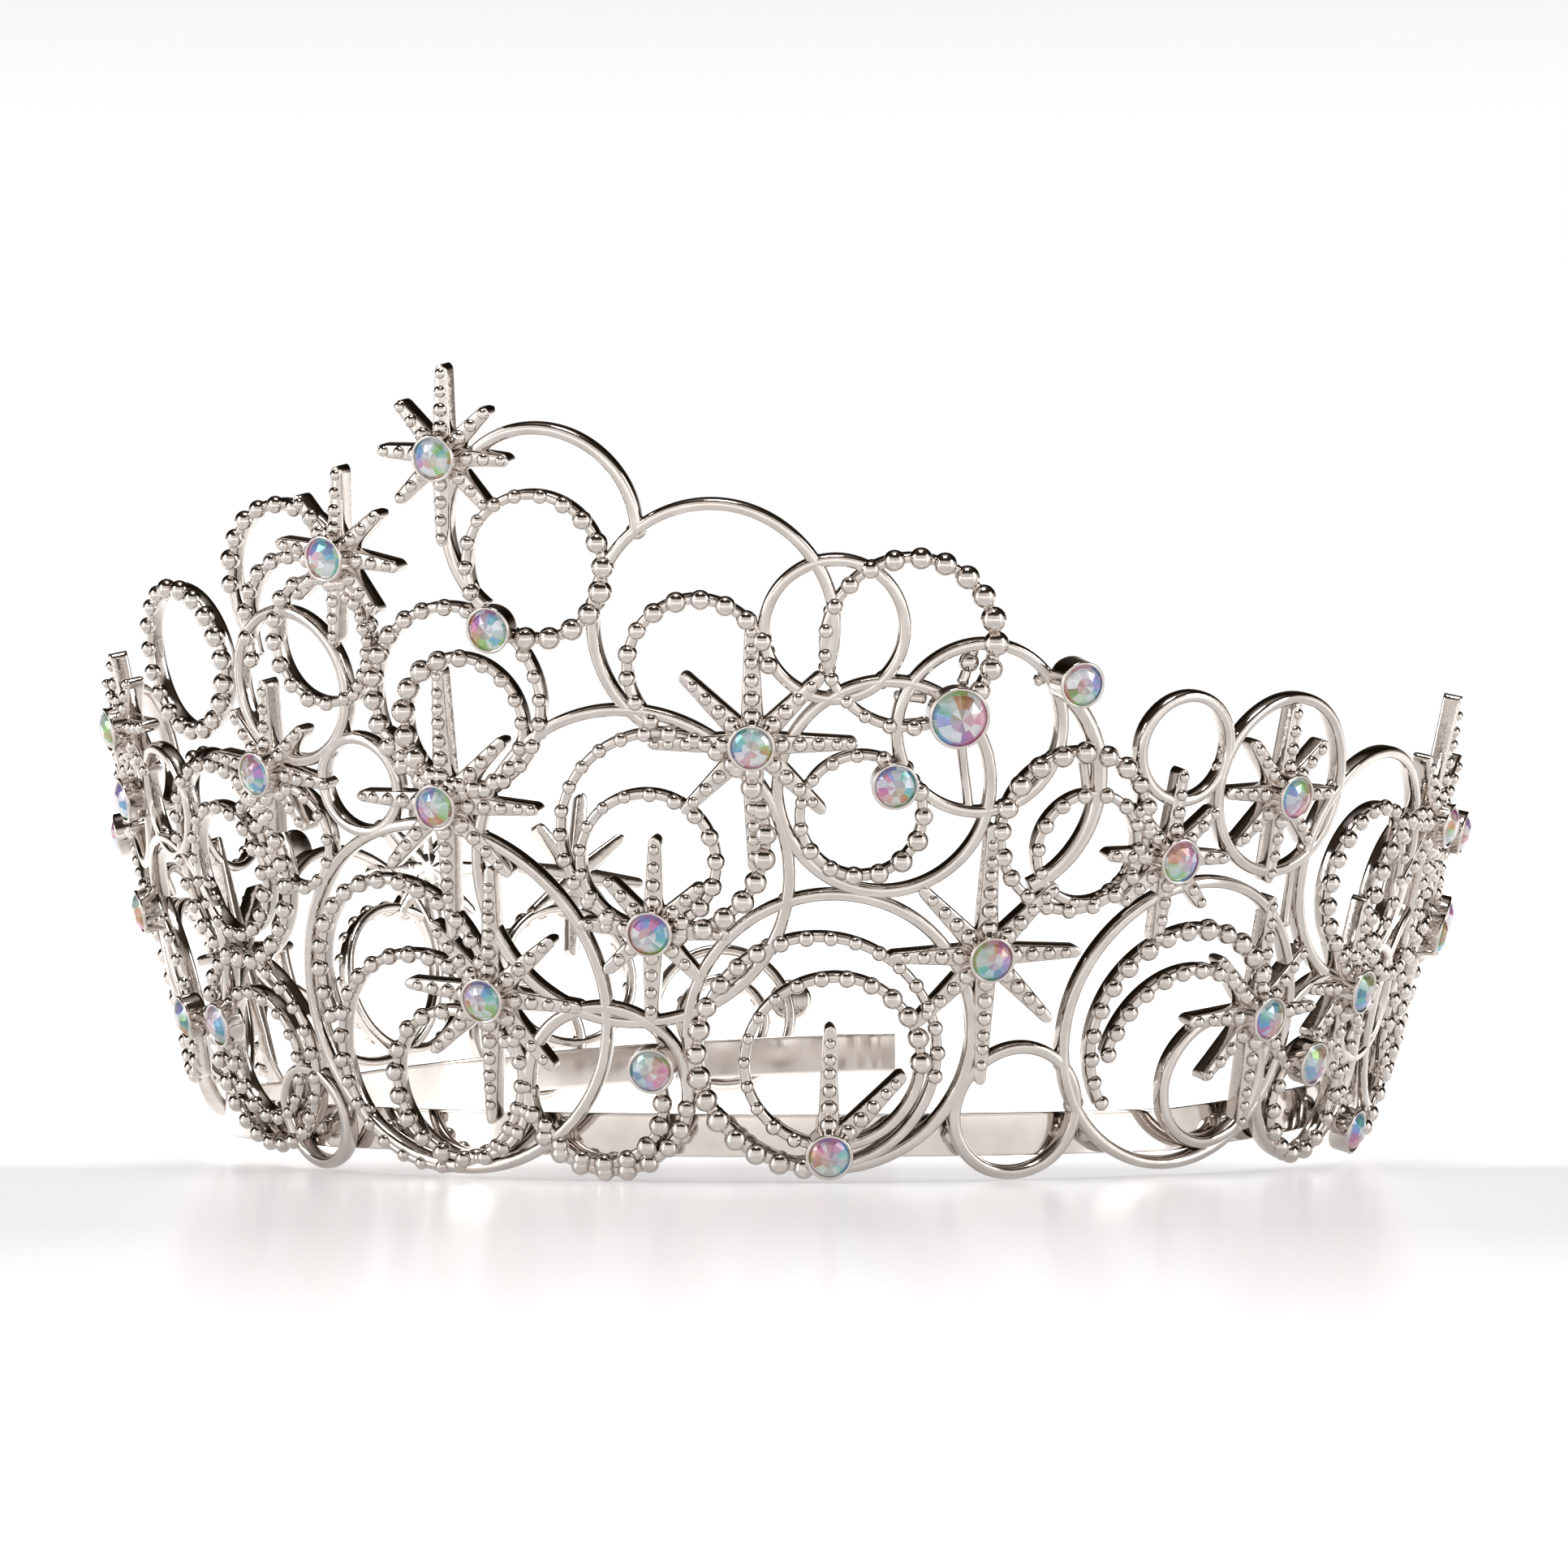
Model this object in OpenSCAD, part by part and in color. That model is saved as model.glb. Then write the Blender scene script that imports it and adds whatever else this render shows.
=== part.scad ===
// Open-backed crown: a springy head band that carries lacework of plain wire rings,
// beaded rings and eight-pointed stars, with faceted stones set in bezel cups.
// The front of the crown is at -Y and Z = 0 is the surface it stands on.
// A place on the lacework is an angle around the head from the front (toward +X)
// and a height above the table.

/* [Head band] */
// Inner radius of the band, which rests on the hair
head_r = 68.7; // [62:0.1:75]
// Thickness of the strip
band_thick = 0.8; // [0.6:0.1:1.2]
// Height of the strip
band_tall = 5; // [4:0.5:7]
// Height of the strip's lower edge at the front
band_low = 2.9; // [2:0.1:4]
// Rise of each rear arm of the band, in degrees
arm_rise = 3.7; // [0:0.1:6]
// Angle from the front to each end of the curved strip
band_reach = 148; // [130:1:156]
// Length of the flat tab at each end of the band
tab_long = 4; // [3:0.5:6]
// Outward turn of the end tabs
tab_turn = 14; // [4:1:25]

/* [Lacework] */
// Width of the plain ring wire, seen from the front
wire_w = 1.5; // [1.2:0.1:1.8]
// Width of the rail behind the beads
rail_w = 1.3; // [1:0.1:1.6]
// Depth of both wires, from the inside of the crown to the outside
wire_deep = 2.1; // [1.9:0.1:2.5]
// Distance between neighbouring beads
bead_pitch = 2.9; // [2.6:0.1:4]
// How far bead centres stand out from the middle of the rail
bead_out = 0.9; // [0.5:0.1:1.1]
// Outward lean of the lacework at the table, as a slope
flare = 0.28; // [0.2:0.01:0.34]
// How much the lean eases off for each millimetre of height
flare_ease = 0.0006; // [0:0.0001:0.001]

/* [Stars] */
// Width of a star arm where it leaves the cup
arm_root_w = 2.6; // [2:0.1:3]
// Width of a star arm at its tip
arm_tip_w = 1.1; // [0.8:0.1:1.4]
// Thickness of the star arms
arm_deep = 2.3; // [1.9:0.1:2.6]
// Diameter of the largest bead on an arm
arm_bead_d = 1.7; // [1.4:0.1:1.9]

/* [Stones] */
// Diameter of the stones in the stars
stone_d = 4.7; // [4.2:0.1:5.2]
// Diameter of the one large stone
big_stone_d = 6.4; // [5.6:0.1:7.2]
// Wall of the bezel cups
cup_wall = 0.4; // [0.3:0.1:0.6]
// Depth of the bezel cups
cup_deep = 2.4; // [2:0.1:3]

/* [Hidden] */
$fn = 48;
stone_sides = 12;
band_r = head_r + band_thick;

// How far the lacework's flat back lies inside the surface on which it is laid out
lace_back = 0.75;

// Plain rings too wide for a finger gap: [angle, height, radius to the wire's middle]
// and, for an open ring, the turn at which its wire starts and the angle that it spans
PLAIN = [
    [85, 46.2, 10.4], [99.3, 36.6, 13.7], [78.3, 18.3, 17.1], [43.6, 17.8, 16.5],
    [26.4, 36.9, 18.6], [7.8, 21.6, 20.8], [20.8, 75.8, 11.6, -3, 235],
    [34, 64.7, 14, -22, 258], [47.7, 46.2, 12.4], [23, 11, 9.8, -10, 190],
    [97.5, 12.7, 11], [-40, 46, 10], [-60, 20, 15.5], [-92, 23, 14], [119, 20, 14],
    [-30, 28, 12], [-4, 57.8, 8.9], [55.3, 52.9, 9.9]
];

// Small plain rings, in the same form
SMALL_PLAIN = [
    [61.3, 8.4, 7.6], [73.8, 50.5, 6.2], [82.8, 11.5, 7.7], [43.4, 64.2, 8.1],
    [-11.5, 6.9, 5.8], [2.1, 46.3, 5.6], [-27, 44, 6.5], [-63, 50, 7.5],
    [-112, 12, 7.5], [-133, 14.5, 9], [134, 14.5, 9], [106, 20, 7]
];

// The sweep of wire from the tall cup down to a star, in the same form
SWEEP = [55.7, 46.7, 14.3, -62, 108];

// Beaded rings too wide for a finger gap:
// [angle, height, radius, smallest bead, largest bead, direction of the largest bead]
// and, for an open ring, the turn at which it starts and the angle that it spans
BEADED = [
    [-2.3, 69.1, 10, 1.8, 2.4, 160, -10, 220], [-1.5, 63.5, 9.6, 1.6, 2.2, 140, -45, 240],
    [12.5, 56.2, 10.9, 1.7, 2.6, 185], [-17.5, 61, 8.6, 2, 2.7, 0],
    [29.4, 40.7, 12, 1.7, 2.7, -20], [49.3, 62.7, 9.9, 1.6, 3, 30],
    [42.4, 15.4, 13.9, 1.7, 2.8, 215], [43.8, 14.3, 10.2, 1.5, 2.6, -10],
    [64.2, 41, 9.4, 1.8, 2.8, 110], [78, 16.8, 13, 1.8, 2.6, 70, -5, 222],
    [78.5, 13.5, 11.4, 1.6, 2.2, 100, 5, 168], [3.3, 23.3, 12.3, 1.7, 2.3, 100, -15, 215],
    [4.9, 14.1, 12.9, 1.6, 2.2, 90], [-17, 37, 12, 1.7, 2.3, 0],
    [-18.5, 14.5, 11.6, 1.7, 2.3, 200], [109, 33, 10, 1.7, 2.3, 180],
    [112, 13.5, 10.5, 1.7, 2.3, 0], [-43, 22, 12, 1.7, 2.3, 180],
    [-62, 20, 11, 1.7, 2.3, 0], [-98, 20, 9.4, 1.6, 2.2, 90],
    [-117, 20, 9, 1.6, 2.2, 90], [121, 20, 9.4, 1.6, 2.2, 90],
    [23, 11, 9.8, 1.9, 2.3, 270, 182, 166]
];

// Small beaded rings, in the same form
SMALL_BEADED = [
    [20.2, 71.4, 8.4, 1.7, 2.8, -50], [0.2, 63, 7.3, 1.5, 2.2, 200],
    [13, 53.5, 7.7, 1.7, 2.9, 190], [28.1, 37.6, 8, 1.5, 2.2, -20],
    [32.8, 59.6, 8.2, 1.8, 2.5, 80, 5, 222], [45.8, 42.9, 7.1, 1.6, 2.5, -40],
    [65.5, 39, 6.5, 1.5, 2, 100], [8.2, 11.3, 9, 1.6, 2.4, 190],
    [22.3, 9.8, 7.6, 1.6, 2.5, -40, 205, 175],
    [-17, 36, 7.8, 1.5, 2.1, 0], [-18, 14, 7.8, 1.5, 2.1, 180],
    [-6.5, 40, 6, 1.5, 2.1, 180], [100.2, 34.6, 9.1, 1.6, 2.3, 180],
    [97.5, 9, 7, 1.6, 2.3, 270], [-76, 42, 7.5, 1.6, 2.2, 90],
    [-80, 12.5, 7.5, 1.6, 2.2, 0], [-133, 14, 5.6, 1.5, 2, 90],
    [134, 14, 5.6, 1.5, 2, 90]
];

// Stars: [angle, height, upright arm, level arm, slanting arm, clockwise lean]
UPPER_LONG_STARS = [
    [10.6, 44.3, 16.2, 12.1, 11.5, 4], [37, 51.2, 15, 12, 11.5, 0],
    [113, 41.5, 15.6, 11.6, 11.5, 0], [-52, 40, 15, 11.6, 11.5, -3]
];
LOWER_LONG_STARS = [
    [12.8, 21.9, 15.6, 11.5, 11.2, 7], [57, 26.8, 15.6, 11.6, 11.6, -1.5],
    [86.5, 19.3, 14.4, 11, 10.5, -4], [-74, 24, 15, 11.6, 11.5, 3]
];
SHORT_STARS = [
    [13.5, 84.3, 10.6, 8.5, 8.2, 5], [3, 73, 10.6, 9, 8.6, 10],
    [-8, 48, 11, 10, 8.8, 10], [28.3, 29.8, 11, 8.8, 7.8, 4],
    [73.4, 38, 10.5, 8.7, 8.3, 1.5], [84.8, 45.3, 10.8, 9.2, 8.8, 0],
    [100.5, 22, 11, 9, 8.5, 0], [-33.5, 53, 9, 8.5, 8, 0],
    [-103, 34, 11, 9, 8.5, 0], [-119, 33, 11, 9, 8.5, -8],
    [128, 30, 11, 9, 8.5, 6]
];

// The star at the foot of the front, of which only two arms are clear of the rings
LOW_STAR = [43.5, 4];
low_star_arms = [[0, 15.2], [-43, 12.8]];

// Stones in cups on the rings: [angle, height]
RING_STONES = [
    [16.8, 64.7], [48.2, 46.8], [27.8, 14], [94.5, 13.7], [106.5, 5],
    [-33.6, 44.6], [-37.8, 31], [-30.5, 18.5], [-22, 18], [122, 28], [120.5, 40.5],
    [-88, 37], [-140, 17], [141, 17]
];
BIG_STONE = [53, 54.6];
TALL_CUP = [62.3, 58.7];
tall_cup_lift = 1.4;

// Straight bars that tie rings and cups together: [angle, height, angle, height] of the ends
BARS = [
    [48.4, 56.4, 50.6, 56.2], [48.4, 53.2, 50.6, 53.4], [54.6, 62.4, 53.7, 58],
    [59.8, 58.2, 61, 58.6], [64.3, 49.8, 65.2, 44.6], [89, 29.6, 88.6, 37.2],
    [53.8, 51.2, 54.8, 43.4]
];
BAR_BEAD = [54.1, 60.3];

// Angles at which a ring's wire crosses the band and is soldered to it
SOLDER = [
    -139, -127, -117, -107, -63, -57, -24, -13, -2.3, 17.9, 29.7, 35, 52, 55.6, 67, 69.5, 87,
    90, 105, 113, 125, 140
];

// Radius of the surface on which the lacework is laid out, and its slope, at a height
function lace_r(z) = band_r - 0.1 + flare * z - flare_ease * z * z;
function lace_slope(z) = flare - 2 * flare_ease * z;

// An open ring holds its start and its span from item i on; other rings are whole
function ring_start(ring, i) = len(ring) > i ? ring[i] : 0;
function ring_span(ring, i) = len(ring) > i ? ring[i + 1] : 360;

// Bead sizes grade evenly from the smallest to the largest, half a turn away
function bead_d(ring, turn) =
    (ring[3] + ring[4]) / 2 + (ring[4] - ring[3]) / 2 * cos(turn - ring[5]);

// Height of the band's lower edge at a point y millimetres behind the middle
hinge_y = -12;
function band_z(y) = band_low + max(0, y - hinge_y) * tan(arm_rise);

// Puts children on the lacework: X along it, Y up it and Z outward
module on_lace(angle, z, lean = 0) {
    rotate(angle)
        translate([0, -lace_r(z), z])
            rotate([90 + atan(lace_slope(z)), 0, 0])
                rotate(-lean)
                    children();
}

// Section of a wire with a flat inner and outer side and round edges
module wire_section(width) {
    straight = wire_deep - width;
    translate([0, wire_deep / 2 - lace_back]) {
        square([width, straight], center = true);
        for (side = [-1, 1])
            translate([0, side * straight / 2])
                circle(d = width);
    }
}

module wire_ring(radius, width, start, span) {
    rotate(start)
        rotate_extrude(angle = span)
            translate([radius, 0])
                wire_section(width);
}

module plain_ring(ring) {
    on_lace(ring[0], ring[1])
        wire_ring(ring[2], wire_w, ring_start(ring, 3), ring_span(ring, 3));
}

module bead_rail(ring) {
    on_lace(ring[0], ring[1])
        wire_ring(ring[2], rail_w, ring_start(ring, 6), ring_span(ring, 6));
}

// The beads of one ring, each a whole ball sunk into the outside of the rail
module bead_row(ring) {
    span = ring_span(ring, 6);
    count = round(PI / 180 * span * ring[2] / bead_pitch);
    on_lace(ring[0], ring[1])
        for (i = [0:span == 360 ? count - 1 : count]) {
            turn = ring_start(ring, 6) + span * i / count;
            rotate(turn)
                translate([ring[2], 0, wire_deep / 2 - lace_back + bead_out])
                    sphere(d = bead_d(ring, turn), $fn = 24);
        }
}

// One tapered arm with its row of domed beads, pointing along +Y
module star_arm(reach) {
    first_bead = stone_d / 2 + 1;
    arm_pitch = 2.1;
    count = floor((reach - first_bead - 0.5) / arm_pitch);
    translate([0, 0, -lace_back]) {
        linear_extrude(arm_deep)
            polygon([
                [-arm_root_w / 2, 0], [arm_root_w / 2, 0],
                [arm_tip_w / 2, reach], [-arm_tip_w / 2, reach]
            ]);
        for (i = [0:count])
            translate([0, first_bead + arm_pitch * i, arm_deep - 0.1])
                sphere(d = arm_bead_d - 0.12 * i, $fn = 20);
    }
}

// The flat boss under a star's cup
module star_boss() {
    translate([0, 0, -lace_back])
        cylinder(r = stone_d / 2, h = arm_deep);
}

module star(place) {
    on_lace(place[0], place[1], place[5]) {
        star_boss();
        for (turn = [0:45:315])
            rotate(turn)
                star_arm(turn % 90 == 45 ? place[4] : turn % 180 == 0 ? place[2] : place[3]);
    }
}

// A round cup with a floor, standing on the lacework
module bezel_cup(stone, lift = 0) {
    outer = stone / 2 + cup_wall;
    translate([0, 0, arm_deep - lace_back - 0.4])
        rotate_extrude()
            polygon([
                [0, 0], [outer - 0.5, 0], [outer, 0.5 + lift], [outer, cup_deep + lift],
                [stone / 2, cup_deep + lift], [stone / 2, cup_deep + lift - 0.8],
                [stone / 4, 0.6 + lift], [0, 0.6 + lift]
            ]);
}

// A faceted stone whose point sits in the cup and whose crown stands above it
module stone(size, lift = 0) {
    seat = arm_deep - lace_back - 0.4 + cup_deep - 0.8 + lift;
    girdle = size / 2 - 0.02;
    translate([0, 0, seat]) {
        cylinder(r = girdle, h = 0.8);
        translate([0, 0, -0.6])
            cylinder(r1 = size / 2 * 0.7, r2 = girdle, h = 0.6);
        translate([0, 0, 0.8])
            cylinder(r1 = girdle, r2 = size * 0.24, h = size * 0.2, $fn = stone_sides);
    }
}

// The strip seen from the side: level at the front, with a rear part that rises
module band_side() {
    far = band_r + 10;
    rise = (far - hinge_y) * tan(arm_rise);
    polygon([
        [-far, band_low], [hinge_y, band_low], [far, band_low + rise],
        [far, band_low + rise + band_tall], [hinge_y, band_low + band_tall],
        [-far, band_low + band_tall]
    ]);
}

// The curved strip, open at the back
module band_strip() {
    span = 2 * band_r + 20;
    difference() {
        intersection() {
            difference() {
                cylinder(r = band_r, h = 40, $fn = 120);
                translate([0, 0, -1])
                    cylinder(r = head_r, h = 42, $fn = 120);
            }
            translate([-span / 2, 0, 0])
                rotate([90, 0, 90])
                    linear_extrude(span)
                        band_side();
        }
        linear_extrude(60)
            polygon([
                [0, 0],
                [span * sin(band_reach), -span * cos(band_reach)],
                [-span * sin(band_reach), -span * cos(band_reach)]
            ]);
    }
}

// The flat tab that ends one arm of the band
module band_tab(side) {
    overlap = 0.3;
    step = 0.1;
    rotate(side * band_reach)
        translate([0, -band_r + band_thick / 2, band_z(-band_r * cos(band_reach)) + step])
            rotate([0, 0, -side * tab_turn])
                translate([side > 0 ? -overlap : -tab_long, -band_thick / 2, 0])
                    cube([tab_long + overlap, band_thick, band_tall - 2 * step]);
}

module head_band() {
    color("silver") {
        band_strip();
        band_tab(1);
        band_tab(-1);
    }
}

// Short pegs of solder that join the rings to the band's outside
module solder_pads() {
    color("silver")
        for (angle = SOLDER) {
            pad_z = band_z(-band_r * cos(angle)) + band_tall / 2;
            rotate(angle)
                translate([0, -band_r + 0.2, pad_z])
                    rotate([90, 0, 0])
                        cylinder(r = 0.7, h = lace_r(pad_z) - band_r + 0.1);
        }
}

module plain_ring_node(i) {
    color("gainsboro")
        plain_ring(PLAIN[i - 1]);
}

module bead_rail_node(i) {
    color("silver")
        bead_rail(BEADED[i - 1]);
}

module small_plain_rings() {
    color("gainsboro")
        for (ring = SMALL_PLAIN)
            plain_ring(ring);
}

module small_bead_rails() {
    color("silver")
        for (ring = SMALL_BEADED)
            bead_rail(ring);
}

module large_ring_beads() {
    color("silver")
        for (ring = BEADED)
            bead_row(ring);
}

module small_ring_beads() {
    color("silver")
        for (ring = SMALL_BEADED)
            bead_row(ring);
}

module wire_sweep() {
    color("gainsboro")
        plain_ring(SWEEP);
}

// A point on the middle of the wire
function lace_point(angle, z) = [lace_r(z) * sin(angle), -lace_r(z) * cos(angle), z];

module tie_bar(start, end) {
    reach = end - start;
    length = norm(reach);
    translate(start)
        rotate([0, acos(reach[2] / length), atan2(reach[1], reach[0])])
            cylinder(d = wire_w - 0.2, h = length);
}

// The short bars that tie rings and cups together, one with a bead on it
module tie_bars() {
    color("gainsboro") {
        for (bar = BARS)
            tie_bar(lace_point(bar[0], bar[1]), lace_point(bar[2], bar[3]));
        on_lace(BAR_BEAD[0], BAR_BEAD[1])
            sphere(d = 2.4, $fn = 24);
    }
}

module upper_long_stars() {
    color("lightgray")
        for (place = UPPER_LONG_STARS)
            star(place);
}

module lower_long_stars() {
    color("lightgray")
        for (place = LOWER_LONG_STARS)
            star(place);
}

module short_stars() {
    color("lightgray")
        for (place = SHORT_STARS)
            star(place);
}

module low_star() {
    color("lightgray")
        on_lace(LOW_STAR[0], LOW_STAR[1]) {
            star_boss();
            for (arm = low_star_arms)
                rotate(arm[0])
                    star_arm(arm[1]);
        }
}

// Places that hold a stone of the usual size
function small_seats() = concat(
    [for (place = UPPER_LONG_STARS) [place[0], place[1]]],
    [for (place = LOWER_LONG_STARS) [place[0], place[1]]],
    [for (place = SHORT_STARS) [place[0], place[1]]],
    [LOW_STAR],
    RING_STONES
);

module bezel_cups() {
    color("gainsboro") {
        for (seat = small_seats())
            on_lace(seat[0], seat[1])
                bezel_cup(stone_d);
        on_lace(TALL_CUP[0], TALL_CUP[1])
            bezel_cup(stone_d, tall_cup_lift);
    }
}

module large_bezel_cup() {
    color("gainsboro")
        on_lace(BIG_STONE[0], BIG_STONE[1])
            bezel_cup(big_stone_d);
}

module stones() {
    color("lightcyan") {
        for (seat = small_seats())
            on_lace(seat[0], seat[1])
                stone(stone_d);
        on_lace(TALL_CUP[0], TALL_CUP[1])
            stone(stone_d, tall_cup_lift);
    }
}

module large_stone() {
    color("lightcyan")
        on_lace(BIG_STONE[0], BIG_STONE[1])
            stone(big_stone_d);
}

head_band();
solder_pads();
small_plain_rings();
wire_sweep();
tie_bars();
for (i = [1:len(PLAIN)])
    plain_ring_node(i);
for (i = [1:len(BEADED)])
    bead_rail_node(i);
small_bead_rails();
large_ring_beads();
small_ring_beads();
upper_long_stars();
lower_long_stars();
short_stars();
low_star();
bezel_cups();
large_bezel_cup();
stones();
large_stone();
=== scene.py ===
"""Looks for the open-backed crown, built around its CAD frame.

The lacework is modelled flat, in millimetres, in a local space where u runs along the
crown, v up it and w outward, and is then wrapped on the flared surface on which the
CAD rings lie. Places and sizes of rings, beads, stars, cups and stones are measured
from the CAD solids.
"""

import math
import random

import bmesh
import bpy
import numpy as np
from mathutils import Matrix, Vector


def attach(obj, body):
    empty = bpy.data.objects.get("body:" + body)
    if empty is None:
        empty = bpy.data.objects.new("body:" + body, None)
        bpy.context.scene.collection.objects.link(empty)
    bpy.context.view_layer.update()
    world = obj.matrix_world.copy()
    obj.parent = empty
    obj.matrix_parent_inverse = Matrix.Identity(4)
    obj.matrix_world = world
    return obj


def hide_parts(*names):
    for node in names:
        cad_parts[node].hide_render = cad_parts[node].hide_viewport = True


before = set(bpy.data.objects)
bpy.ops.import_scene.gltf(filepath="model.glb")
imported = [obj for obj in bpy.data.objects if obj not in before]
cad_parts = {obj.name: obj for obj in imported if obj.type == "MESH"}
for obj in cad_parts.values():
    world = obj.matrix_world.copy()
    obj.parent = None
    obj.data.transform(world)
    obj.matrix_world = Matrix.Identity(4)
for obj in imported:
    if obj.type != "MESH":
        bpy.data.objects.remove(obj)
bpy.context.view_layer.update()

MM = 0.001
TAU = 2 * math.pi

# Photographic set-up, in millimetres and degrees
CAMERA_AZIMUTH = 40.0
CAMERA_DISTANCE = 1200.0
CAMERA_HEIGHT = 56.5
CAMERA_LENS = 223.6
CAMERA_SHIFT_X = -0.0041
CAMERA_SHIFT_Y = -0.0564

# Level direction from the crown to the camera
TOWARD_CAMERA = (
    math.sin(math.radians(CAMERA_AZIMUTH)), -math.cos(math.radians(CAMERA_AZIMUTH)), 0)

# Distance between the domes on a star's arm, in millimetres
DOME_PITCH = 2.1

# Width of a star's arm at the cup and at the tip, for long and for short stars
LONG_ARM = (2.9, 1.4)
SHORT_ARM = (2.6, 1.5)
# Upright arms longer than this belong to a long star
LONG_REACH = 13.0

# An open ring has a gap at least this wide between its points
OPEN_GAP = math.radians(40)

# Facets round a stone's table
FACETS = 10


# ---------------------------------------------------------------- CAD measurements

def solids(name):
    """The separate solids of a CAD node, each as an array of its points in millimetres."""
    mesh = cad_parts[name].data
    points = np.empty(len(mesh.vertices) * 3)
    mesh.vertices.foreach_get("co", points)
    points = points.reshape(-1, 3) / MM
    edges = np.empty(len(mesh.edges) * 2, dtype=np.int64)
    mesh.edges.foreach_get("vertices", edges)
    edges = edges.reshape(-1, 2)
    _, same = np.unique(np.round(points, 3), axis=0, return_inverse=True)
    same = same.reshape(-1)
    label = np.arange(same.max() + 1)
    a, b = same[edges[:, 0]], same[edges[:, 1]]
    while True:
        low = np.minimum(label[a], label[b])
        before = label.copy()
        np.minimum.at(label, a, low)
        np.minimum.at(label, b, low)
        label = label[label]
        if np.array_equal(before, label):
            break
    group = label[same]
    return [points[group == g] for g in np.unique(group)]


def angle_of(point):
    """Angle round the head from the front of the crown, toward +X."""
    return math.atan2(point[0], -point[1])


class Ring:
    """A ring of wire, or an arc of one: its place, radius, half width and half depth."""

    def __init__(self, points):
        middle = points.mean(axis=0)
        _, _, axes = np.linalg.svd(points - middle, full_matrices=False)
        flat = (points - middle) @ axes.T
        rows = np.column_stack([2 * flat[:, :2], np.ones(len(flat))])
        answer = np.linalg.lstsq(rows, (flat[:, :2] ** 2).sum(axis=1), rcond=None)[0]
        away = np.hypot(flat[:, 0] - answer[0], flat[:, 1] - answer[1])
        deep = flat[:, 2]
        level = (deep.max() + deep.min()) / 2
        self.centre = middle + answer[0] * axes[0] + answer[1] * axes[1] + level * axes[2]
        self.radius = (away.max() + away.min()) / 2
        self.half_width = (away.max() - away.min()) / 2
        self.half_deep = np.ptp(deep) / 2
        self.psi = angle_of(self.centre)
        self.z = self.centre[2]
        self.points = points
        self.start, self.sweep = 0.0, TAU

    def find_span(self):
        """Read from its points where an open ring's wire starts and how far it goes."""
        flat = flatten(self.psi, self.z, self.points)
        turns = np.sort(np.arctan2(flat[:, 1], flat[:, 0]) % TAU)
        gaps = np.diff(np.append(turns, turns[0] + TAU))
        widest = int(gaps.argmax())
        if gaps[widest] > OPEN_GAP:
            self.start = turns[(widest + 1) % len(turns)]
            self.sweep = TAU - gaps[widest]


def rings_of(prefix):
    names = [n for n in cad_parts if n.startswith(prefix)]
    return {n: [Ring(s) for s in solids(n)] for n in sorted(names)}


plain_rings = rings_of("plain_ring_")
plain_rings.update(rings_of("small_plain_rings"))
bead_rails = rings_of("bead_rail_")
bead_rails.update(rings_of("small_bead_rails"))
all_rings = [r for group in (plain_rings, bead_rails) for rings in group.values() for r in rings]
lace_curve = np.polyfit(
    [r.z for r in all_rings], [math.hypot(*r.centre[:2]) for r in all_rings], 2)
lace_lean = np.polyder(lace_curve)


def lace_radius(z):
    """Radius of the surface on which the lacework lies, at a height."""
    return np.polyval(lace_curve, z)


def lace_tilt(z):
    """Outward lean of that surface, in radians."""
    return np.arctan(np.polyval(lace_lean, z))


def local_axes(psi, z):
    """A place on that surface, and its sideways, upward and outward directions."""
    tilt, radius = float(lace_tilt(z)), float(lace_radius(z))
    side = np.array([math.cos(psi), math.sin(psi), 0])
    radial = np.array([math.sin(psi), -math.cos(psi), 0])
    up = math.sin(tilt) * radial + np.array([0, 0, math.cos(tilt)])
    out = math.cos(tilt) * radial - np.array([0, 0, math.sin(tilt)])
    return radius * radial + np.array([0, 0, z]), side, up, out


def turned(flat, turn):
    """The u, v and w of flat points turned clockwise as seen from outside."""
    flat = np.asarray(flat, dtype=float)
    c, s = math.cos(turn), math.sin(turn)
    return flat[:, 0] * c + flat[:, 1] * s, flat[:, 1] * c - flat[:, 0] * s, flat[:, 2]


def wrap(psi, z, flat, turn=0.0):
    """Flat points about a place on the lacework, bent along its surface."""
    u, v, w = turned(flat, turn)
    height = z + v * np.cos(lace_tilt(z))
    around = psi + u / lace_radius(height)
    tilt = lace_tilt(height)
    out = lace_radius(height) + w * np.cos(tilt)
    return np.column_stack([
        out * np.sin(around), -out * np.cos(around), height - w * np.sin(tilt)])


def wrap_rigid(psi, z, flat, turn=0.0):
    """Flat points about a place on the lacework, not bent."""
    u, v, w = turned(flat, turn)
    origin, side, up, out = local_axes(psi, z)
    return origin + np.outer(u, side) + np.outer(v, up) + np.outer(w, out)


def unwrap(point):
    """Angle, height and outward distance of a point from the lacework's surface."""
    away = math.hypot(point[0], point[1])
    z = point[2]
    for _ in range(8):
        tilt = float(lace_tilt(z))
        w = (away - float(lace_radius(z))) * math.cos(tilt)
        z = point[2] + w * math.sin(tilt)
    return angle_of(point), z, w


def flatten(psi, z, points):
    """Points as u, v and w about a place on the lacework: wrap_rigid undone."""
    origin, side, up, out = local_axes(psi, z)
    off = np.asarray(points) - origin
    return np.column_stack([off @ side, off @ up, off @ out])


for ring in all_rings:
    ring.find_span()


# ---------------------------------------------------------------- mesh building

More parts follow.
